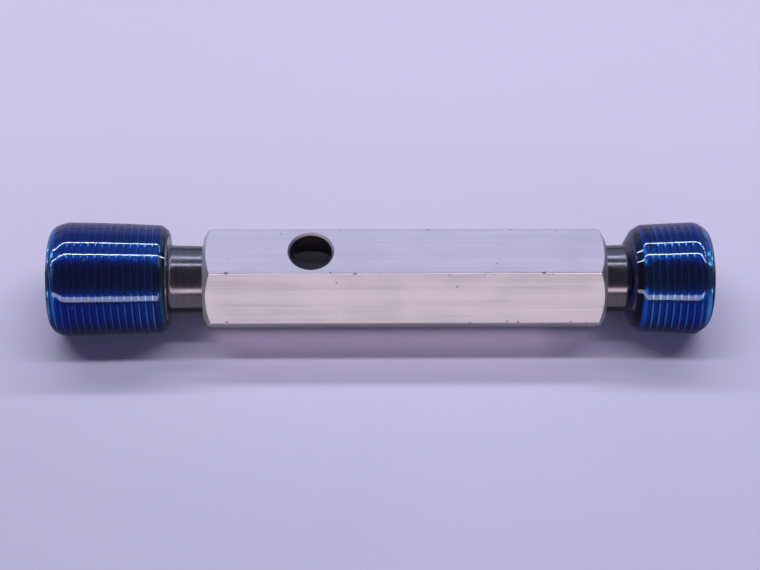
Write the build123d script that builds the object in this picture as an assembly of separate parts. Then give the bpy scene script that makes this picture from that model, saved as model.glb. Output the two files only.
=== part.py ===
from build123d import *
import math
import os

# Double-end thread plug gauge lying on its side, in millimetres.
# X runs along the gauge with the GO end at -X, and +Z is up.

# Thread on the two gauge members
thread_major_d = 23.8125
thread_pitch = 1.5875
thread_depth_per_pitch = 0.6134
chamfer_past_root = 0.15
thread_chamfer_angle = 30.0
no_go_crest_relief = 0.2
go_thread_length = 26.5
no_go_thread_length = 15.5

# Taper shank, the same on both members
shank_mouth_d = 15.24
shank_taper = 1 / 24
neck_length = 7.94
shoulder_fillet_r = 1.2
tail_chamfer = 0.8
tail_setback = 0.5
centre_hole_d = 5.0
centre_pilot_d = 2.5
centre_hole_depth = 6.0
centre_angle = 60.0

# Hexagonal handle
handle_length = 91.5
hex_across_flats = 21.43
hex_edge_r = 0.4
end_face_d = 19.0
end_chamfer_angle = 32.0
socket_run_out = 1.6
socket_mouth_break = 0.3
knock_out_bore_d = 12.7
drift_hole_d = 9.525
drift_hole_from_end = 24.5
drift_hole_edge_break = 0.5

# Dipped plastic coats, as thickness over the thread crests
coat_lip_t = 0.36
go_coat_lip_setback = 0.2
go_coat_rear_at = 1.6
go_coat_rear_t = 0.45
go_coat_middle_t = 0.94
go_coat_brim_t = 1.2
go_coat_tip_t = 0.61
go_bevel_length = 3.8
go_bevel_drop = 1.5
go_coat_rear_r = 0.8
go_brim_r = 5.9
go_nose_r = 3.0
no_go_dip_line = 4.6
no_go_skirt_t = 1.6
no_go_skin_start = 0.4
no_go_coat_rear_t = 0.53
no_go_coat_brim_t = 1.13
no_go_coat_tip_t = 0.98
no_go_bevel_length = 3.36
no_go_bevel_drop = 2.24
no_go_knee_r = 1.0
no_go_ridge_r = 2.4
no_go_brim_r = 3.1
no_go_nose_r = 3.5
flat_spot_depth = 0.1

# Sizes that follow from the ones above
go_crest_r = thread_major_d / 2
no_go_crest_r = (thread_major_d - no_go_crest_relief) / 2
chamfer_depth = thread_depth_per_pitch * thread_pitch + chamfer_past_root
chamfer_slope = math.tan(math.radians(thread_chamfer_angle))
chamfer_length = chamfer_depth / chamfer_slope
shank_depth = drift_hole_from_end - drift_hole_d / 2 - tail_setback
socket_depth = shank_depth + socket_run_out
go_reach = handle_length / 2 + neck_length + go_thread_length + go_coat_tip_t
no_go_reach = handle_length / 2 + neck_length + no_go_thread_length + no_go_coat_tip_t
handle_x = (go_reach - no_go_reach) / 2


def shank_radius(along):
    """Taper radius at a distance outwards from the handle's end face."""
    return (shank_mouth_d + along * shank_taper) / 2


def turned(section):
    """Solid turned about X from a flat section drawn as (along, radius)."""
    return revolve(Plane.XZ * section, Axis.X)


def rounded(section, corners):
    """Section with each listed corner point rounded to its radius."""
    for point, radius in corners:
        corner = section.vertices().sort_by_distance((*point, 0))[0]
        section = fillet(corner, radius)
    return section


def centre_hole(face, inwards):
    """Drilled centre in an end face, cut along +1 or -1."""
    cone_depth = (centre_hole_d - centre_pilot_d) / 2 / math.tan(math.radians(centre_angle / 2))
    return turned(make_face(Polyline(
        (face, 0),
        (face, centre_hole_d / 2),
        (face + inwards * cone_depth, centre_pilot_d / 2),
        (face + inwards * centre_hole_depth, centre_pilot_d / 2),
        (face + inwards * centre_hole_depth, 0),
        close=True,
    )))


def gauge_member(crest_r, thread_length):
    """Thread section, shoulder, neck and taper shank, turned in one piece."""
    front = neck_length + thread_length
    rim_r = crest_r - chamfer_depth
    shoulder = (neck_length, shank_radius(neck_length))
    section = make_face(Polyline(
        (-shank_depth, 0),
        (-shank_depth, shank_radius(-shank_depth) - tail_chamfer),
        (tail_chamfer - shank_depth, shank_radius(tail_chamfer - shank_depth)),
        shoulder,
        (neck_length, rim_r),
        (neck_length + chamfer_length, crest_r),
        (front - chamfer_length, crest_r),
        (front, rim_r),
        (front, 0),
        close=True,
    ))
    member = turned(rounded(section, [(shoulder, shoulder_fillet_r)]))
    return member - centre_hole(-shank_depth, 1) - centre_hole(front, -1)


def coat_front(tip, skin_r, bevel_length, bevel_drop):
    """Brim and nose corners, where a skin turns in over the tip."""
    brim = (tip - bevel_length, skin_r)
    nose = (tip, skin_r - bevel_drop)
    return brim, nose


def go_coat(member):
    """Drained skin that thickens to the tip and stops at the thread's rear chamfer."""
    lip_at = neck_length + go_coat_lip_setback
    steel_r = go_crest_r - chamfer_depth + go_coat_lip_setback * chamfer_slope
    lip = (lip_at, steel_r + coat_lip_t)
    tip = neck_length + go_thread_length + go_coat_tip_t
    rear = (neck_length + go_coat_rear_at, go_crest_r + go_coat_rear_t)
    brim, nose = coat_front(tip, go_crest_r + go_coat_brim_t, go_bevel_length, go_bevel_drop)
    middle = ((rear[0] + brim[0]) / 2, go_crest_r + go_coat_middle_t)
    section = make_face([
        Line((lip_at, 0), lip),
        Line(lip, rear),
        ThreePointArc(rear, middle, brim),
        Line(brim, nose),
        Line(nose, (tip, 0)),
        Line((tip, 0), (lip_at, 0)),
    ])
    section = rounded(section, [(rear, go_coat_rear_r), (brim, go_brim_r), (nose, go_nose_r)])
    return turned(section) - member


def no_go_coat(member):
    """Drained skin that wraps the shoulder and runs down on to the neck."""
    dip_line = (no_go_dip_line, shank_radius(no_go_dip_line) + coat_lip_t)
    knee = (neck_length - no_go_skirt_t, no_go_crest_r - chamfer_depth + coat_lip_t)
    ridge = (neck_length + no_go_skin_start, no_go_crest_r + no_go_coat_rear_t)
    tip = neck_length + no_go_thread_length + no_go_coat_tip_t
    brim, nose = coat_front(tip, no_go_crest_r + no_go_coat_brim_t, no_go_bevel_length, no_go_bevel_drop)
    section = make_face(Polyline(
        (no_go_dip_line, 0),
        dip_line,
        knee,
        ridge,
        brim,
        nose,
        (tip, 0),
        close=True,
    ))
    section = rounded(section, [
        (knee, no_go_knee_r),
        (ridge, no_go_ridge_r),
        (brim, no_go_brim_r),
        (nose, no_go_nose_r),
    ])
    return turned(section) - member


def handle_blank():
    """Hexagonal bar with softened edges and a turned chamfer at each end."""
    hexagon = RegularPolygon(hex_across_flats / 2, 6, major_radius=False)
    hexagon = fillet(hexagon.vertices(), hex_edge_r)
    bar = extrude(Plane.YZ * hexagon, handle_length / 2, both=True)
    end = handle_length / 2
    corner_r = hex_across_flats / math.sqrt(3)
    chamfer = (corner_r - end_face_d / 2) * math.tan(math.radians(end_chamfer_angle))
    envelope = turned(make_face(Polyline(
        (-end, 0),
        (-end, end_face_d / 2),
        (chamfer - end, corner_r),
        (end - chamfer, corner_r),
        (end, end_face_d / 2),
        (end, 0),
        close=True,
    )))
    return bar & envelope


def handle_core():
    """Taper socket at each end, joined by the knock-out bore."""
    end = handle_length / 2
    go_half = [
        (-end, 0),
        (-end, shank_radius(0) + socket_mouth_break),
        (socket_mouth_break - end, shank_radius(-socket_mouth_break)),
        (socket_depth - end, shank_radius(-socket_depth)),
        (socket_depth - end, knock_out_bore_d / 2),
    ]
    no_go_half = [(-along, radius) for along, radius in reversed(go_half)]
    return turned(make_face(Polyline(*go_half, *no_go_half, close=True)))


def drift_hole():
    """Cross hole behind the GO shank, with its edge broken on both flats."""
    hole_r = drift_hole_d / 2
    hole = Cylinder(hole_r, hex_across_flats)
    edge_break = Pos(0, 0, (hex_across_flats - drift_hole_edge_break) / 2) * Cone(
        hole_r, hole_r + drift_hole_edge_break, drift_hole_edge_break
    )
    hole = hole + edge_break + Rot(180, 0, 0) * edge_break
    return Pos(drift_hole_from_end - handle_length / 2, 0, 0) * hole


go_member = gauge_member(go_crest_r, go_thread_length)
no_go_member = gauge_member(no_go_crest_r, no_go_thread_length)
go_skin = go_coat(go_member)
no_go_skin = no_go_coat(no_go_member)

# The gauge lies on the coats, each pressed flat where it meets the table
skin_r = min(skin.bounding_box().max.Z for skin in (go_skin, no_go_skin))
axis_height = skin_r - flat_spot_depth
centre = Pos(handle_x, 0, axis_height)
go_end = centre * Pos(-handle_length / 2, 0, 0) * Rot(0, 0, 180)
no_go_end = centre * Pos(handle_length / 2, 0, 0)
table_size = go_reach + no_go_reach
table = Pos(0, 0, -table_size / 2) * Box(table_size, table_size, table_size)

nodes = {
    "handle": centre * (handle_blank() - handle_core() - drift_hole()),
    "go_member": go_end * go_member,
    "no_go_member": no_go_end * no_go_member,
    "go_dip_coat": go_end * go_skin - table,
    "no_go_dip_coat": no_go_end * no_go_skin - table,
}

os.makedirs("parts", exist_ok=True)
for name, solid in nodes.items():
    export_step(solid, f"parts/{name}.step")
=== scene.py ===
import math

import bmesh
import bpy
from mathutils import Matrix, Vector, noise


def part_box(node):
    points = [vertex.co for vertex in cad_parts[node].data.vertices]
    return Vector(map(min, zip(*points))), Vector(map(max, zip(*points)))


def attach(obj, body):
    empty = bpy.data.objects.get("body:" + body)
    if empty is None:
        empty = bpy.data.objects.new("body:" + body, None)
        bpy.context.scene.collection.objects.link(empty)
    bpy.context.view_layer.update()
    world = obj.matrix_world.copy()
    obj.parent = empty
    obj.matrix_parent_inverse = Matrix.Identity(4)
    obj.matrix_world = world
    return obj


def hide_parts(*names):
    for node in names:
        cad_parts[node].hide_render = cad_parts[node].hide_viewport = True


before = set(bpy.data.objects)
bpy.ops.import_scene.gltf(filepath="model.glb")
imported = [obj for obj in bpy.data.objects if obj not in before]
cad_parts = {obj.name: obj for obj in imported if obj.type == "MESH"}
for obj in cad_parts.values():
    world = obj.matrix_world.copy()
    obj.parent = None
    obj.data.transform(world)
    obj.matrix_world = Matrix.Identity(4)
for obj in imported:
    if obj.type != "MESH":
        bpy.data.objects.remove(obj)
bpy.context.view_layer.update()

MM = 0.001

# Thread form and the turned steel behind it
PITCH = 1.5875 * MM
THREAD_DEPTH = 0.6134 * PITCH
GO_CREST_FLAT = 0.125 * PITCH
NO_GO_CREST_RELIEF = 0.1 * MM
CHAMFER_DEPTH = THREAD_DEPTH + 0.15 * MM
CHAMFER_SLOPE = math.tan(math.radians(30.0))
FLANK_SLOPE = math.tan(math.radians(30.0))
NECK_LENGTH = 7.94 * MM
SHANK_MOUTH_R = 7.62 * MM
SHANK_TAPER = 1 / 48
SHOULDER_FILLET_R = 1.2 * MM
SHOULDER_RISE = 1.92 * MM
TAIL_CHAMFER = 0.8 * MM
CENTRE_HOLE_R = 2.5 * MM
CENTRE_PILOT_R = 1.25 * MM
CENTRE_CONE_DEPTH = 2.165 * MM
CENTRE_HOLE_DEPTH = 6.0 * MM

# Where the crests lie along each member, seen from straight above
GO_CREST_AT = 9.51 * MM
NO_GO_CREST_AT = 9.74 * MM

# Dipped coats: lips, depth sunk into the steel, thickness over the crests, bevels and roundings
COAT_LIP = 0.36 * MM
COAT_BURIED = 0.03 * MM
GO_LIP_SETBACK = 0.2 * MM
GO_REAR_AT = 1.6 * MM
GO_SKIN = (0.45 * MM, 0.94 * MM, 1.2 * MM)
GO_BEVEL = (3.8 * MM, 1.5 * MM)
GO_REAR_R = 0.8 * MM
GO_BRIM_R = 5.9 * MM
GO_NOSE_R = 3.0 * MM
NO_GO_DIP_LINE = 4.6 * MM
NO_GO_SKIRT = 1.6 * MM
NO_GO_SKIN_START = 0.4 * MM
NO_GO_SKIN = (0.53 * MM, 1.13 * MM)
NO_GO_BEVEL = (3.36 * MM, 2.24 * MM)
NO_GO_KNEE_R = 1.0 * MM
NO_GO_RIDGE_R = 2.4 * MM
NO_GO_BRIM_R = 3.1 * MM
NO_GO_NOSE_R = 3.5 * MM

# Waves left by the draining, as heights, with where they start and how they grow
SKIN_WAVE = 0.006 * MM
NOSE_WAVE = 0.05 * MM
WAVE_PER_METRE = 280.0
WAVE_GROWTH = 2 * MM
WAVE_LEAST_R = 1 * MM
NOSE_WAVE_FULL_R = 8 * MM
GO_STILL = 1 * MM
NO_GO_STILL = 0.2 * MM
GO_NOSE_WAVE_FROM_BRIM = 2 * MM

# Burst bubbles: depth by their radius, lip height by that depth, lip place and width by the radius
DENT_PER_RADIUS = 0.5
LIP_PER_DENT = 0.35
LIP_AT = 1.05
LIP_WIDTH = 0.2
# Those in the GO skin, as (along, height across the view, skin radius there, own radius)
BUBBLES = (
    (33.4 * MM, 1.3 * MM, 12.24 * MM, 0.75 * MM),
    (34.8 * MM, 1.3 * MM, 10.76 * MM, 0.5 * MM),
    (28.9 * MM, -6.5 * MM, 13.05 * MM, 0.35 * MM),
    (26.0 * MM, 4.2 * MM, 13.0 * MM, 0.3 * MM),
)

# Drop of the plastic on the bare shoulder, as (along, height across the view, radius from the axis)
DROP = (7.9 * MM, 9.9 * MM, 10.6 * MM)
DROP_R = 0.55 * MM
DROP_FLATNESS = 0.6

# Drift hole and edges of the handle, as the finish follows them; the hole's wall and edge break get
# painted shade
DRIFT_HOLE_R = 4.7625 * MM
DRIFT_HOLE_FROM_END = 24.5 * MM
HOLE_WALL = 0.04 * MM
HOLE_EDGE_BREAK = 0.49 * MM
NICKED_EDGE_R = (12.02 * MM, 12.2 * MM)

# Finish along the steel, from the bare shoulder to the lapped crests; the shoulder's and neck's dark
# colour is painted shade and the thread's pale colour painted light
# On the GO end the shoulder's dark painted shade reaches this far on to the thread's rear chamfer, under
# the coat.
GO_DARK_STRIP = 1.5 * MM
BARE_TO_LAPPED = (0.1 * MM, 0.6 * MM)
CREST_BAND = (0.05 * MM, 0.02 * MM)
RINGS_PER_METRE = 7000.0

# Sheet under the gauge, with the reach of its painted light falloff, darker in front and paler behind
FLOOR_HALF_WIDTH = 3
FLOOR_CLEARANCE = 0.02 * MM
SHEET_PAINTED_FALLOFF_REACH = 70 * MM

# Mesh fineness
TURN_STEPS = 96
SKIN_STEPS = 240
SKIN_STEP = 0.32 * MM
ARC_STEPS = 12
FLANK_STEPS = 4
BULGE_STEPS = 21
DENT_CUTS = 4
SPARE_TURNS = 2
WELD = 0.0005 * MM
TURN_WELD = 0.002 * MM
STEEL_SHARP_ANGLE = 40
COAT_SHARP_ANGLE = 60

# Camera, fitted to the photograph
PHOTO_WIDTH = 760
FOCAL_PIXELS = 2025
SENSOR_WIDTH = 36.0
CAMERA_DISTANCE = 465 * MM
CAMERA_ELEVATION = math.radians(54.2)
CAMERA_YAW = math.radians(1.14)
CAMERA_ROLL = math.radians(0.12)
AIM_FROM_HANDLE_MIDDLE = -5.515 * MM
AXIS_PIXELS_ABOVE_CENTRE = 6.1

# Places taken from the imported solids
handle_low, handle_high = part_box("handle")
axis_z = (handle_low.z + handle_high.z) / 2
handle_middle = (handle_low.x + handle_high.x) / 2
aim = Vector((handle_middle + AIM_FROM_HANDLE_MIDDLE, 0, axis_z))
to_camera = Vector((0, -math.cos(CAMERA_ELEVATION), math.sin(CAMERA_ELEVATION)))
across_view = Vector((0, math.sin(CAMERA_ELEVATION), math.cos(CAMERA_ELEVATION)))
go_low, go_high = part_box("go_member")
no_go_low, no_go_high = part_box("no_go_member")
go_crest_r = (go_high.y - go_low.y) / 2
no_go_crest_r = (no_go_high.y - no_go_low.y) / 2
no_go_crest_flat = GO_CREST_FLAT + 2 * NO_GO_CREST_RELIEF * FLANK_SLOPE
go_front = handle_low.x - go_low.x
no_go_front = no_go_high.x - handle_high.x
tail_depth = go_high.x - handle_low.x
go_tip = handle_low.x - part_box("go_dip_coat")[0].x
no_go_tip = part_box("no_go_dip_coat")[1].x - handle_high.x
GO_PLACE = Matrix.Translation((handle_low.x, 0, axis_z)) @ Matrix.Rotation(math.pi, 4, "Z")
NO_GO_PLACE = Matrix.Translation((handle_high.x, 0, axis_z))


# Turned shapes, drawn as (along, radius) from the handle's end face

def shank_radius(along):
    return SHANK_MOUTH_R + along * SHANK_TAPER


def fillet_points(before, corner, after, radius):
    """Points of the arc that rounds one corner of an outline."""
    to_before = (Vector(before) - Vector(corner)).normalized()
    to_after = (Vector(after) - Vector(corner)).normalized()
    half = to_before.angle(to_after) / 2
    start = Vector(corner) + to_before * radius / math.tan(half)
    centre = Vector(corner) + (to_before + to_after).normalized() * radius / math.sin(half)
    arm = start - centre
    sweep = arm.angle_signed(Vector(corner) + to_after * radius / math.tan(half) - centre)
    points = []
    for step in range(ARC_STEPS + 1):
        swing = Matrix.Rotation(-sweep * step / ARC_STEPS, 2)
        points.append(tuple(centre + swing @ arm))
    return points


def rounded_outline(corners):
    """Outline from (along, radius, rounding) corners, with long runs divided."""
    points = []
    for index, (along, radius, rounding) in enumerate(corners):
        if rounding:
            before, after = corners[index - 1][:2], corners[index + 1][:2]
            points += fillet_points(before, (along, radius), after, rounding)
        else:
            points.append((along, radius))
    outline = [points[0]]
    for point in points[1:]:
        gap = Vector(point) - Vector(outline[-1])
        pieces = max(1, math.ceil(gap.length / SKIN_STEP))
        last = Vector(outline[-1])
        outline += [tuple(last + gap * step / pieces) for step in range(1, pieces + 1)]
    return outline


def turn(bm, outline, steps, lead=0.0):
    """Spin an outline round the X axis, moving it along by a thread's lead."""
    verts = [bm.verts.new((along, 0, radius)) for along, radius in outline]
    edges = [bm.edges.new(pair) for pair in zip(verts, verts[1:])]
    bmesh.ops.spin(
        bm, geom=verts + edges, cent=(0, 0, 0), axis=(1, 0, 0),
        dvec=(lead / steps, 0, 0), angle=math.tau, steps=steps, use_merge=not lead,
    )


def fill_ring(bm, along):
    """Close the flat gap between the open loops that lie in one plane."""
    loops = [
        edge for edge in bm.edges
        if edge.is_boundary and all(abs(vert.co.x - along) < TURN_WELD / 2 for vert in edge.verts)
    ]
    bmesh.ops.triangle_fill(bm, use_beauty=True, edges=loops, normal=(1, 0, 0))


def thread(bm, crest_r, crest_flat, crest_at, rear, front, rim):
    """Right-hand helix with a turned chamfer at each end, open in the end planes."""
    flank = (PITCH - crest_flat) / 2
    root_r = crest_r - flank / FLANK_SLOPE
    corners = [
        (0, root_r),
        (flank, crest_r),
        (flank + crest_flat, crest_r),
        (PITCH, root_r),
    ]
    crest_middle = PITCH / 2
    turns_before = math.ceil((crest_at - rear) / PITCH) + SPARE_TURNS
    first = crest_at - crest_middle - turns_before * PITCH
    turns = math.ceil((front - first) / PITCH) + SPARE_TURNS
    outline = []
    for (u0, r0), (u1, r1) in zip(corners, corners[1:]):
        for step in range(FLANK_STEPS):
            part = step / FLANK_STEPS
            outline.append((first + u0 + (u1 - u0) * part, r0 + (r1 - r0) * part))
    outline.append((first + PITCH, root_r))
    turn(bm, outline, TURN_STEPS, PITCH)
    one_turn = bm.verts[:] + bm.edges[:] + bm.faces[:]
    for turn_index in range(1, turns):
        copied = bmesh.ops.duplicate(bm, geom=one_turn)["geom"]
        copied_verts = [part for part in copied if isinstance(part, bmesh.types.BMVert)]
        bmesh.ops.translate(bm, vec=(turn_index * PITCH, 0, 0), verts=copied_verts)
    bmesh.ops.remove_doubles(bm, verts=bm.verts, dist=TURN_WELD)
    rear_rim, front_rim = rim
    for vert in bm.verts:
        radius = math.hypot(vert.co.y, vert.co.z)
        limit = min(
            rear_rim + max(vert.co.x - rear, 0) * CHAMFER_SLOPE,
            front_rim + max(front - vert.co.x, 0) * CHAMFER_SLOPE,
        )
        if radius > limit:
            vert.co.yz *= limit / radius
    for along, outwards in ((rear, -1), (front, 1)):
        bmesh.ops.bisect_plane(
            bm, geom=bm.verts[:] + bm.edges[:] + bm.faces[:], dist=WELD,
            plane_co=(along, 0, 0), plane_no=(outwards, 0, 0), clear_outer=True,
        )
    for vert in bm.verts:
        if vert.is_boundary:
            rim_r = rear_rim if vert.co.x < (rear + front) / 2 else front_rim
            vert.co.yz *= rim_r / vert.co.yz.length


def shoulder_outline(inset, start):
    """From the shoulder's fillet down the neck to a place along it."""
    neck_r = shank_radius(NECK_LENGTH)
    return [
        (along, radius - inset) for along, radius in rounded_outline([
            (NECK_LENGTH, neck_r + SHOULDER_RISE, 0),
            (NECK_LENGTH, neck_r, SHOULDER_FILLET_R),
            (start, shank_radius(start), 0),
        ])
    ]


def piece(bm, name, place, node, material, sharp_angle):
    """Finish a mesh, put it in its place and let it stand for its CAD node."""
    bmesh.ops.remove_doubles(bm, verts=bm.verts, dist=WELD)
    bmesh.ops.recalc_face_normals(bm, faces=bm.faces)
    bmesh.ops.transform(bm, matrix=place, verts=bm.verts)
    mesh = bpy.data.meshes.new(name)
    bm.to_mesh(mesh)
    bm.free()
    mesh.shade_smooth()
    mesh.set_sharp_from_angle(angle=math.radians(sharp_angle))
    mesh.materials.append(material)
    made = bpy.data.objects.new(name, mesh)
    bpy.context.scene.collection.objects.link(made)
    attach(made, "root")
    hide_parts(node)
    return made


def member(name, place, crest_r, crest_flat, crest_at, front, node, material):
    """Threaded gauge member with its neck, taper shank and drilled centres."""
    bm = bmesh.new()
    rim_r = crest_r - CHAMFER_DEPTH
    thread(bm, crest_r, crest_flat, crest_at, NECK_LENGTH, front, (rim_r, rim_r))
    tail_r = shank_radius(-tail_depth)
    shank = [
        (TAIL_CHAMFER - tail_depth, shank_radius(TAIL_CHAMFER - tail_depth)),
        (-tail_depth, tail_r - TAIL_CHAMFER),
        (-tail_depth, CENTRE_HOLE_R),
        (CENTRE_CONE_DEPTH - tail_depth, CENTRE_PILOT_R),
        (CENTRE_HOLE_DEPTH - tail_depth, CENTRE_PILOT_R),
        (CENTRE_HOLE_DEPTH - tail_depth, 0),
    ]
    turn(bm, shoulder_outline(0, 0) + shank, TURN_STEPS)
    turn(bm, [
        (front, CENTRE_HOLE_R),
        (front - CENTRE_CONE_DEPTH, CENTRE_PILOT_R),
        (front - CENTRE_HOLE_DEPTH, CENTRE_PILOT_R),
        (front - CENTRE_HOLE_DEPTH, 0),
    ], TURN_STEPS)
    fill_ring(bm, NECK_LENGTH)
    fill_ring(bm, front)
    return piece(bm, name, place, node, material, STEEL_SHARP_ANGLE)


def front_corners(tip, skin_r, bevel, brim_rounding, nose_rounding):
    """Brim, nose and middle of a skin's front, as outline corners."""
    length, drop = bevel
    return [(tip - length, skin_r, brim_rounding), (tip, skin_r - drop, nose_rounding), (tip, 0, 0)]


def wave_skin(verts, still_to, nose_from):
    """Shallow waves that the draining left, deepest round the nose and none at the lip."""
    for vert in verts:
        radius = vert.co.yz.length
        if radius < WAVE_LEAST_R or vert.co.x <= still_to:
            continue
        settled = min((vert.co.x - still_to) / WAVE_GROWTH, 1)
        on_nose = min(max((vert.co.x - nose_from) / WAVE_GROWTH, 0), 1)
        nose = on_nose * min(radius / NOSE_WAVE_FULL_R, 1) ** 2
        height = SKIN_WAVE + (NOSE_WAVE - SKIN_WAVE) * nose
        lift = settled * height * noise.noise(vert.co * WAVE_PER_METRE)
        vert.co.yz *= 1 + lift / radius


def seen_place(along, height, radius):
    """Place on the GO end, by its height across the photograph's view and its distance from the axis."""
    out = across_view * height + to_camera * math.sqrt(radius ** 2 - height ** 2)
    return Vector((along, -out.y, out.z))


def skin_near(bm, centre, size):
    """Vertices of the skin round a bubble."""
    reach = 2 * size + SKIN_STEP
    return {vert for vert in bm.verts if (vert.co - centre).length < reach}


def dent(bm, centre, size):
    """Burst bubble: a small crater with a raised lip."""
    near = skin_near(bm, centre, size)
    edges = [edge for edge in bm.edges if near.issuperset(edge.verts)]
    bmesh.ops.subdivide_edges(bm, edges=edges, cuts=DENT_CUTS, use_grid_fill=True)
    bm.normal_update()
    near = skin_near(bm, centre, size)
    outwards = sum((vert.normal for vert in near), Vector()).normalized()
    if outwards.dot(Vector((0, centre.y, centre.z))) < 0:
        outwards.negate()
    for vert in near:
        part = (vert.co - centre).length / size
        crater = max(1 - part * part, 0) ** 1.5
        lip = math.exp(-((part - LIP_AT) / LIP_WIDTH) ** 2) * LIP_PER_DENT
        vert.co += outwards * DENT_PER_RADIUS * size * (lip - crater)


def drained_skin(bm, corners, still_to, nose_from, bubbles=()):
    """Add a coat's outer skin, with its waves and burst bubbles."""
    skin_bm = bmesh.new()
    turn(skin_bm, rounded_outline(corners), SKIN_STEPS)
    wave_skin(skin_bm.verts, still_to, nose_from)
    for *place, size in bubbles:
        dent(skin_bm, seen_place(*place), size)
    skin = bpy.data.meshes.new("skin")
    skin_bm.to_mesh(skin)
    skin_bm.free()
    bm.from_mesh(skin)
    bpy.data.meshes.remove(skin)


def go_coat(material):
    """Drained skin over the GO thread, thickest at the tip, open at the shoulder."""
    bm = bmesh.new()
    lip_at = NECK_LENGTH + GO_LIP_SETBACK
    rim_r = go_crest_r - CHAMFER_DEPTH
    lip_steel_r = rim_r + GO_LIP_SETBACK * CHAMFER_SLOPE
    buried_front = go_front - COAT_BURIED
    thread(
        bm, go_crest_r - COAT_BURIED, GO_CREST_FLAT, GO_CREST_AT, lip_at, buried_front,
        (lip_steel_r - COAT_BURIED, rim_r - COAT_BURIED),
    )
    fill_ring(bm, buried_front)
    rear_at = NECK_LENGTH + GO_REAR_AT
    rear_t, middle_t, brim_t = GO_SKIN
    front = front_corners(go_tip, go_crest_r + brim_t, GO_BEVEL, GO_BRIM_R, GO_NOSE_R)
    brim_at = front[0][0]
    bulged = []
    for step in range(2, BULGE_STEPS - 1):
        part = step / BULGE_STEPS
        bulge = 4 * part * (1 - part) * (middle_t - (rear_t + brim_t) / 2)
        thickness = rear_t + (brim_t - rear_t) * part + bulge
        bulged.append((rear_at + (brim_at - rear_at) * part, go_crest_r + thickness, 0))
    corners = [
        (lip_at, lip_steel_r + COAT_LIP, 0),
        (rear_at, go_crest_r + rear_t, GO_REAR_R),
        *bulged,
        *front,
    ]
    drained_skin(bm, corners, lip_at + GO_STILL, brim_at + GO_NOSE_WAVE_FROM_BRIM, BUBBLES)
    fill_ring(bm, lip_at)
    bead = Matrix.Translation(seen_place(*DROP)) @ Matrix.Diagonal((DROP_FLATNESS, 1, 1, 1))
    bmesh.ops.create_uvsphere(bm, u_segments=16, v_segments=10, radius=DROP_R, matrix=bead)
    return coat_piece(bm, "go_dip_skin", GO_PLACE, "go_dip_coat", material)


def no_go_coat(material):
    """Drained skin over the NO-GO thread, wrapped round the shoulder on to the neck."""
    bm = bmesh.new()
    rim_r = no_go_crest_r - CHAMFER_DEPTH
    buried_rear = NECK_LENGTH + COAT_BURIED
    buried_front = no_go_front - COAT_BURIED
    thread(
        bm, no_go_crest_r - COAT_BURIED, no_go_crest_flat, NO_GO_CREST_AT, buried_rear, buried_front,
        (rim_r - COAT_BURIED, rim_r - COAT_BURIED),
    )
    wall = shoulder_outline(COAT_BURIED, NO_GO_DIP_LINE)
    turn(bm, [(along + COAT_BURIED, radius) for along, radius in wall[:-1]] + wall[-1:], TURN_STEPS)
    fill_ring(bm, buried_rear)
    fill_ring(bm, buried_front)
    rear_t, brim_t = NO_GO_SKIN
    front = front_corners(no_go_tip, no_go_crest_r + brim_t, NO_GO_BEVEL, NO_GO_BRIM_R, NO_GO_NOSE_R)
    corners = [
        (NO_GO_DIP_LINE, shank_radius(NO_GO_DIP_LINE) + COAT_LIP, 0),
        (NECK_LENGTH - NO_GO_SKIRT, rim_r + COAT_LIP, NO_GO_KNEE_R),
        (NECK_LENGTH + NO_GO_SKIN_START, no_go_crest_r + rear_t, NO_GO_RIDGE_R),
        *front,
    ]
    drained_skin(bm, corners, NO_GO_DIP_LINE + NO_GO_STILL, front[0][0])
    fill_ring(bm, NO_GO_DIP_LINE)
    return coat_piece(bm, "no_go_dip_skin", NO_GO_PLACE, "no_go_dip_coat", material)


def coat_piece(bm, name, place, node, material):
    """Coat with the small flat spot that it lies on."""
    made = piece(bm, name, place, node, material, COAT_SHARP_ANGLE)
    for vert in made.data.vertices:
        vert.co.z = max(vert.co.z, 0)
    return made


# Materials

def add(tree, kind, settings=None, **sockets):
    """New shader node with its settings, and values or links on its named inputs."""
    made = tree.nodes.new(f"ShaderNode{kind}")
    for name, value in (settings or {}).items():
        setattr(made, name, value)
    for name, value in sockets.items():
        feed(tree, made.inputs[name.replace("_", " ")], value)
    return made


def feed(tree, socket, value):
    if isinstance(value, bpy.types.NodeSocket):
        tree.links.new(value, socket)
    else:
        socket.default_value = value


def maths(tree, operation, first, second=0.0, third=0.0):
    made = tree.nodes.new("ShaderNodeMath")
    made.operation = operation
    for socket, value in zip(made.inputs, (first, second, third)):
        feed(tree, socket, value)
    return made.outputs["Value"]


def ramp(tree, value, low, high, to_low=0.0, to_high=1.0):
    """Value carried smoothly from one range to another."""
    made = add(
        tree, "MapRange", {"interpolation_type": "SMOOTHSTEP"}, Value=value,
        From_Min=low, From_Max=high, To_Min=to_low, To_Max=to_high,
    )
    return made.outputs["Result"]


def blend(tree, factor, first, second):
    """Colour between two, by a mask."""
    made = add(tree, "Mix", {"data_type": "RGBA"}, Factor=factor, A=first, B=second)
    return made.outputs["Result"]


def new_material(name):
    material = bpy.data.materials.new(name)
    material.use_nodes = True
    return material, material.node_tree, material.node_tree.nodes["Principled BSDF"]


def new_group(name, inputs, output):
    group = bpy.data.node_groups.new(name, "ShaderNodeTree")
    for socket_name, kind, value in inputs:
        socket = group.interface.new_socket(socket_name, in_out="INPUT", socket_type=kind)
        if value is not None:
            socket.default_value = value
    group.interface.new_socket(output, in_out="OUTPUT", socket_type="NodeSocketFloat")
    return group, group.nodes.new("NodeGroupInput"), group.nodes.new("NodeGroupOutput")


def place_group(tree, group, **sockets):
    made = tree.nodes.new("ShaderNodeGroup")
    made.node_tree = group
    for name, value in sockets.items():
        feed(tree, made.inputs[name], value)
    return made.outputs[0]


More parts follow.
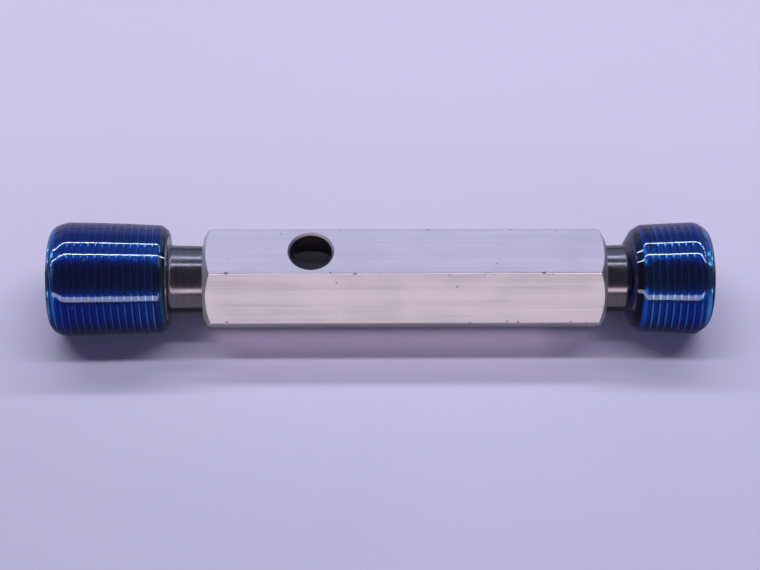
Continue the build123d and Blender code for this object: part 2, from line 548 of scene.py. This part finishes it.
def tool_lines_group():
    """Fine parallel lines with broader bands among them, along a stretched vector."""
    group, given, put = new_group(
        "tool lines", [("Vector", "NodeSocketVector", None), ("Bands", "NodeSocketFloat", 0.4)], "Lines",
    )
    fine = add(group, "TexNoise", Vector=given.outputs["Vector"], Scale=1.0, Detail=2.0, Roughness=0.6)
    broad = add(group, "TexNoise", Vector=given.outputs["Vector"], Scale=0.22, Detail=1.0)
    mixed = add(
        group, "Mix", {"data_type": "FLOAT"}, Factor=given.outputs["Bands"],
        A=fine.outputs["Fac"], B=broad.outputs["Fac"],
    )
    group.links.new(ramp(group, mixed.outputs["Result"], 0.3, 0.7), put.inputs["Lines"])
    return group


def nicks_group():
    """Sparse small marks: a few of the cells of a pattern, each with a spot of its own size."""
    group, given, put = new_group(
        "small nicks",
        [
            ("Vector", "NodeSocketVector", None),
            ("Share", "NodeSocketFloat", 0.1),
            ("Size", "NodeSocketFloat", 0.2),
        ],
        "Mask",
    )
    wobble = add(group, "TexNoise", Vector=given.outputs["Vector"], Scale=2.3, Detail=2.0)
    shifted = add(group, "VectorMath", {"operation": "MULTIPLY_ADD"})
    group.links.new(wobble.outputs["Color"], shifted.inputs[0])
    shifted.inputs[1].default_value = (0.5, 0.5, 0.5)
    group.links.new(given.outputs["Vector"], shifted.inputs[2])
    cells = add(group, "TexVoronoi", Vector=shifted.outputs["Vector"], Scale=1.0)
    chance = add(group, "SeparateColor", Color=cells.outputs["Color"])
    chosen = maths(group, "LESS_THAN", chance.outputs["Red"], given.outputs["Share"])
    reach = maths(group, "MULTIPLY", given.outputs["Size"], chance.outputs["Green"])
    spot = maths(group, "LESS_THAN", cells.outputs["Distance"], reach)
    group.links.new(maths(group, "MULTIPLY", chosen, spot), put.inputs["Mask"])
    return group


def smudge_group():
    """Soft uneven patches, as handling leaves them."""
    group, given, put = new_group(
        "handling smudges", [("Vector", "NodeSocketVector", None)], "Smudge",
    )
    cloud = add(
        group, "TexNoise", Vector=given.outputs["Vector"],
        Scale=1.0, Detail=3.0, Roughness=0.55, Distortion=0.4,
    )
    group.links.new(ramp(group, cloud.outputs["Fac"], 0.35, 0.68), put.inputs["Smudge"])
    return group


def gauge_place(tree):
    """Object place, measured from the middle of the handle."""
    place = add(tree, "TexCoord")
    moved = add(tree, "Mapping", Vector=place.outputs["Object"], Location=(-handle_middle, 0, -axis_z))
    return moved.outputs["Vector"]


def diagonal(tree, first, second):
    """Diagonal of two sides at right angles."""
    squares = [maths(tree, "MULTIPLY", side, side) for side in (first, second)]
    return maths(tree, "SQRT", maths(tree, "ADD", *squares))


def from_axis(tree):
    """Place on the gauge, the same split in three, and its distance from the axis."""
    vector = gauge_place(tree)
    split = add(tree, "SeparateXYZ", Vector=vector)
    return vector, split, diagonal(tree, split.outputs["Y"], split.outputs["Z"])


def stretched(tree, vector, scale):
    return add(tree, "Mapping", Vector=vector, Scale=scale).outputs["Vector"]


def gauge_steel(lines, smudges):
    """Ground neck and shoulder with turning lines, lapped thread behind them; the neck's dark colour is
    painted shade, the thread's pale one painted light.
    """
    material, tree, shader = new_material("ground gauge steel")
    vector, split, radius = from_axis(tree)
    outwards = maths(tree, "ABSOLUTE", split.outputs["X"])
    neck_end = (handle_high.x - handle_low.x) / 2 + NECK_LENGTH
    go_side = maths(tree, "LESS_THAN", split.outputs["X"], 0.0)
    past_bare = maths(tree, "SUBTRACT", outwards, maths(tree, "MULTIPLY", go_side, GO_DARK_STRIP))
    threaded = ramp(tree, past_bare, *(neck_end + part for part in BARE_TO_LAPPED))
    along = maths(tree, "MULTIPLY", maths(tree, "ADD", outwards, radius), RINGS_PER_METRE)
    rings = place_group(tree, lines, Vector=add(tree, "CombineXYZ", X=along).outputs["Vector"], Bands=0.5)
    smudge = place_group(tree, smudges, Vector=stretched(tree, vector, (160, 260, 260)))
    # Painted shade: the ground neck and shoulder get a very dark colour; painted light: the lapped thread
    # under the coats a far paler one. The turning-line bands are real.
    ground = blend(tree, rings, (0.14, 0.135, 0.15, 1), (0.18, 0.175, 0.19, 1))
    tree.links.new(blend(tree, threaded, ground, (0.85, 0.85, 0.87, 1)), shader.inputs["Base Color"])
    worn = maths(tree, "ADD", maths(tree, "MULTIPLY", rings, 0.06), maths(tree, "MULTIPLY", smudge, 0.06))
    bare = maths(tree, "ADD", worn, 0.16)
    crest = ramp(tree, radius, *(no_go_crest_r - part for part in CREST_BAND), 0.23, 0.12)
    facing = add(tree, "SeparateXYZ", Vector=add(tree, "TexCoord").outputs["Normal"])
    cone = maths(tree, "COMPARE", maths(tree, "ABSOLUTE", facing.outputs["X"]), 0.5, 0.2)
    lapped = add(tree, "Mix", {"data_type": "FLOAT"}, Factor=cone, A=crest, B=0.14)
    rough = add(
        tree, "Mix", {"data_type": "FLOAT"}, Factor=threaded, A=bare, B=lapped.outputs["Result"],
    )
    tree.links.new(rough.outputs["Result"], shader.inputs["Roughness"])
    bump = add(tree, "Bump", Height=rings, Strength=0.12, Distance=0.01 * MM)
    tree.links.new(bump.outputs["Normal"], shader.inputs["Normal"])
    shader.inputs["Metallic"].default_value = 1.0
    return material


def dip_coat(smudges):
    """Clear blue skin that colours by its depth, faintly clouded."""
    material, tree, shader = new_material("deep blue dip")
    cloud = place_group(tree, smudges, Vector=stretched(tree, gauge_place(tree), (220, 220, 220)))
    clear = blend(tree, cloud, (0.87, 0.93, 1.0, 1), (0.82, 0.9, 1.0, 1))
    tree.links.new(clear, shader.inputs["Base Color"])
    shader.inputs["Roughness"].default_value = 0.0
    shader.inputs["IOR"].default_value = 1.33
    shader.inputs["Coat Weight"].default_value = 1.0
    shader.inputs["Coat Roughness"].default_value = 0.0
    shader.inputs["Coat IOR"].default_value = 1.8
    shader.inputs["Transmission Weight"].default_value = 1.0
    shader.inputs["Sheen Weight"].default_value = 0.22
    shader.inputs["Sheen Roughness"].default_value = 0.4
    shader.inputs["Sheen Tint"].default_value = (0.06, 0.13, 1.0, 1)
    absorb = add(tree, "VolumeAbsorption", Color=(0.208, 0.717, 0.921, 1), Density=2400.0)
    tree.links.new(absorb.outputs["Volume"], tree.nodes["Material Output"].inputs["Volume"])
    return material


def drawn_aluminium(lines, nicks, smudges):
    """Drawn bar: lengthwise lines, nicked edges, a few marks on the flats, and painted shade on the
    drilled hole's wall and edge break.
    """
    material, tree, shader = new_material("drawn aluminium")
    vector, split, radius = from_axis(tree)
    drawing = place_group(tree, lines, Vector=stretched(tree, vector, (25, 3200, 3200)), Bands=0.45)
    smudge = place_group(tree, smudges, Vector=stretched(tree, vector, (90, 140, 140)))
    edge = ramp(tree, radius, *NICKED_EDGE_R)
    close_set = stretched(tree, vector, (900, 1200, 1200))
    edge_nicks = place_group(tree, nicks, Vector=close_set, Share=0.25, Size=0.4)
    wide_set = stretched(tree, vector, (330, 450, 450))
    flat_nicks = place_group(tree, nicks, Vector=wide_set, Share=0.1, Size=0.16)
    nicked = maths(tree, "MAXIMUM", maths(tree, "MULTIPLY", edge, edge_nicks), flat_nicks)
    # Painted shade: the drift hole's wall is coloured nearly black and its edge break dark grey, where
    # shade falls into the hole.
    hole_from_middle = (handle_high.x - handle_low.x) / 2 - DRIFT_HOLE_FROM_END
    hole_x = maths(tree, "ADD", split.outputs["X"], hole_from_middle)
    from_hole = maths(tree, "SUBTRACT", diagonal(tree, hole_x, split.outputs["Y"]), DRIFT_HOLE_R)
    drilled = maths(tree, "LESS_THAN", from_hole, HOLE_WALL)
    edge_break = maths(tree, "LESS_THAN", from_hole, HOLE_EDGE_BREAK)
    bare = blend(tree, drawing, (0.8, 0.79, 0.82, 1), (0.92, 0.91, 0.93, 1))
    handled = blend(tree, maths(tree, "MULTIPLY", smudge, 0.3), bare, (0.76, 0.73, 0.74, 1))
    marked = blend(tree, maths(tree, "MULTIPLY", nicked, 0.75), handled, (0.13, 0.12, 0.14, 1))
    broken = blend(tree, edge_break, marked, (0.28, 0.27, 0.3, 1))
    tree.links.new(blend(tree, drilled, broken, (0.12, 0.115, 0.14, 1)), shader.inputs["Base Color"])
    worn = maths(tree, "MULTIPLY", smudge, 0.08)
    rough = maths(tree, "ADD", worn, maths(tree, "MULTIPLY", drawing, 0.06))
    tree.links.new(maths(tree, "ADD", rough, 0.4), shader.inputs["Roughness"])
    height = maths(tree, "SUBTRACT", maths(tree, "MULTIPLY", drawing, 0.25), nicked)
    bump = add(tree, "Bump", Height=height, Strength=0.3, Distance=0.03 * MM)
    tree.links.new(bump.outputs["Normal"], shader.inputs["Normal"])
    shader.inputs["Metallic"].default_value = 1.0
    return material


def pale_sheet(smudges):
    """Pale lavender sheet that the gauge lies on, with a painted light falloff: darker towards the front.
    """
    material, tree, shader = new_material("pale sheet")
    place = add(tree, "TexCoord")
    cloud = place_group(tree, smudges, Vector=stretched(tree, place.outputs["Object"], (9, 9, 9)))
    split = add(tree, "SeparateXYZ", Vector=place.outputs["Object"])
    # Painted light falloff: the sheet's colour goes darker towards the front and paler towards the back.
    far = ramp(tree, split.outputs["Y"], -SHEET_PAINTED_FALLOFF_REACH, SHEET_PAINTED_FALLOFF_REACH)
    colour = blend(tree, far, (0.53, 0.5, 0.7, 1), (0.63, 0.595, 0.79, 1))
    clouded = blend(tree, maths(tree, "MULTIPLY", cloud, 0.15), colour, (0.66, 0.63, 0.82, 1))
    tree.links.new(clouded, shader.inputs["Base Color"])
    shader.inputs["Roughness"].default_value = 0.75
    return material


# Stage, lamps and camera

def floor(material):
    bm = bmesh.new()
    bmesh.ops.create_grid(bm, x_segments=1, y_segments=1, size=FLOOR_HALF_WIDTH)
    bmesh.ops.translate(bm, verts=bm.verts, vec=(0, 0, -FLOOR_CLEARANCE))
    mesh = bpy.data.meshes.new("floor")
    bm.to_mesh(mesh)
    bm.free()
    mesh.materials.append(material)
    made = bpy.data.objects.new("floor", mesh)
    bpy.context.scene.collection.objects.link(made)
    made.visible_glossy = False
    return made


def panel(name, lit, radiance, colour, length, width, place):
    """Soft panel that lights only the listed pieces."""
    light = bpy.data.lights.new(name, "AREA")
    light.shape = "RECTANGLE"
    light.size = length
    light.size_y = width
    light.energy = radiance * math.pi * length * width
    light.color = colour
    made = bpy.data.objects.new(name, light)
    made.matrix_world = place
    made.visible_camera = False
    bpy.context.scene.collection.objects.link(made)
    group = bpy.data.collections.new(f"lit by {name}")
    for thing in lit:
        group.objects.link(thing)
    made.light_linking.receiver_collection = group


def lamp(name, lit, radiance, colour, elevation, distance, length, width, azimuth=0.0):
    """Panel turned to the gauge, placed by its angle up over it from the front, or from a side."""
    angle = math.radians(elevation)
    swing = Matrix.Rotation(math.radians(azimuth), 3, "Z")
    along = swing @ Vector((1, 0, 0))
    away = swing @ Vector((0, -math.cos(angle), math.sin(angle)))
    turn_to = Matrix((along, away.cross(along), away)).transposed().to_4x4()
    place = Matrix.Translation(aim + away * distance) @ turn_to
    panel(name, lit, radiance, colour, length, width, place)


def lights(coats, steel, handle, sheet):
    """Two tubes overhead and behind, a low card in front, and soft walls round about."""
    tube_white = (0.95, 0.94, 1.0)
    tube_deep = (0.92, 1.0, 0.97)
    tube_blue = (0.8, 0.79, 1.0)
    tube_cold = (0.775, 0.745, 1.0)
    card_cold = (0.92, 0.9, 1.0)
    card_rose = (1.0, 0.8, 0.87)
    wall_lavender = (0.82, 0.8, 1.0)
    sheet_light = (0.82, 0.77, 1.0)
    wall_blue = (0.1, 0.33, 1.0)
    wall_cold = (0.63, 0.63, 1.0)
    metal = [*steel, handle]
    tube = {"distance": 1.2, "length": 5.0}
    card = {"distance": 1.0, "length": 3.0, "width": 0.19}
    wall = {"distance": 1.5, "length": 4.0}
    for row, elevation in (("back", 133.4), ("top", 105.6)):
        lamp(f"{row} tube on coats", coats, 11.5, tube_deep, elevation, width=0.04, **tube)
        lamp(f"{row} tube on steel", steel, 13.0, tube_blue, elevation, width=0.05, **tube)
        lamp(f"{row} tube on handle", [handle], 5.7, tube_cold, elevation, width=0.05, **tube)
    lamp("front card on coats", coats, 2.0, card_cold, 13.7, **card)
    lamp("front card on steel", steel, 4.3, card_rose, 13.7, **card)
    lamp("front card on handle", [handle], 5.5, card_rose, 30.0, **card)
    lamp("front card on sheet", [sheet], 1.1, wall_cold, 25.0, **card)
    lamp("right fill on sheet", [sheet], 1.0, wall_cold, 30.0, 0.25, 0.1, 0.1, 45)
    lamp("light off the handle", [sheet], 0.2, card_rose, 130.0, -12.4 * MM, 78 * MM, 7 * MM)
    lamp("back tube on sheet", [sheet], 17.2, tube_white, 120.5, 0.55, 1.2, 0.035)
    lamp("top tube on sheet", [sheet], 18.2, tube_white, 94.2, 0.8, 1.2, 0.06)
    lamp("back wall on coats", coats, 0.3, wall_blue, 135.0, width=2.5, **wall)
    for row, radiance, elevation in (("lower", 0.18, 175.0), ("upper", 0.09, 165.0)):
        lamp(f"{row} haze on coats", coats, radiance, sheet_light, elevation, 1.4, 4.0, 0.25)
    lamp("back wall on steel", steel, 0.68, wall_cold, 148.0, width=1.5, **wall)
    lamp("back wall on handle", [handle], 0.48, wall_cold, 148.0, width=1.5, **wall)
    lamp("front wall on metal", metal, 0.06, wall_lavender, 60.0, width=2.5, **wall)
    for side, radiance, azimuth in (("left", 1.05, -90), ("right", 0.25, 90)):
        lamp(f"{side} wall", metal, radiance, wall_lavender, 25.0, 1.2, 1.6, 1.0, azimuth)
    for name, lit, radiance, near, far in (
        ("front sheet on metal", metal, 0.48, -0.015, -0.215),
        ("back sheet on metal", metal, 0.5, 0.015, 0.215),
        ("back sheet on coats", coats, 0.26, 0.015, 0.8),
    ):
        place = Matrix.Translation((0, (near + far) / 2, 0.05 * MM)) @ Matrix.Rotation(math.pi, 4, "X")
        panel(name, lit, radiance, sheet_light, 0.5, abs(far - near), place)
    world = bpy.data.worlds.new("room")
    world.use_nodes = True
    background = world.node_tree.nodes["Background"]
    background.inputs["Color"].default_value = (0.71, 0.69, 1.0, 1)
    background.inputs["Strength"].default_value = 0.07
    bpy.context.scene.world = world


def camera():
    """Camera at the photograph's place, with the gauge's axis just above its centre."""
    ahead = Vector((
        math.sin(CAMERA_YAW),
        math.cos(CAMERA_YAW) * math.cos(CAMERA_ELEVATION),
        -math.cos(CAMERA_YAW) * math.sin(CAMERA_ELEVATION),
    ))
    place = aim - ahead * CAMERA_DISTANCE
    lowering = math.atan(AXIS_PIXELS_ABOVE_CENTRE / FOCAL_PIXELS)
    forward = ahead * math.cos(lowering) - across_view * math.sin(lowering)
    up = across_view * math.cos(lowering) + ahead * math.sin(lowering)
    right = forward.cross(up)
    tilted_right = right * math.cos(CAMERA_ROLL) - up * math.sin(CAMERA_ROLL)
    tilted_up = up * math.cos(CAMERA_ROLL) + right * math.sin(CAMERA_ROLL)
    data = bpy.data.cameras.new("camera")
    data.sensor_width = SENSOR_WIDTH
    data.lens = FOCAL_PIXELS / PHOTO_WIDTH * SENSOR_WIDTH
    data.clip_start = 0.01
    made = bpy.data.objects.new("camera", data)
    turn_to = Matrix((tilted_right, tilted_up, -forward)).transposed().to_4x4()
    made.matrix_world = Matrix.Translation(place) @ turn_to
    bpy.context.scene.collection.objects.link(made)
    bpy.context.scene.camera = made


tool_lines = tool_lines_group()
small_nicks = nicks_group()
handling = smudge_group()
steel = gauge_steel(tool_lines, handling)
dip = dip_coat(handling)
go_thread = member(
    "go_thread", GO_PLACE, go_crest_r, GO_CREST_FLAT, GO_CREST_AT, go_front, "go_member", steel,
)
no_go_thread = member(
    "no_go_thread", NO_GO_PLACE, no_go_crest_r, no_go_crest_flat, NO_GO_CREST_AT, no_go_front,
    "no_go_member", steel,
)
skins = [go_coat(dip), no_go_coat(dip)]
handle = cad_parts["handle"]
handle.data.materials.clear()
handle.data.materials.append(drawn_aluminium(tool_lines, small_nicks, handling))
sheet = floor(pale_sheet(handling))
lights(skins, [go_thread, no_go_thread], handle, sheet)
camera()
bpy.context.scene.view_settings.view_transform = "Standard"
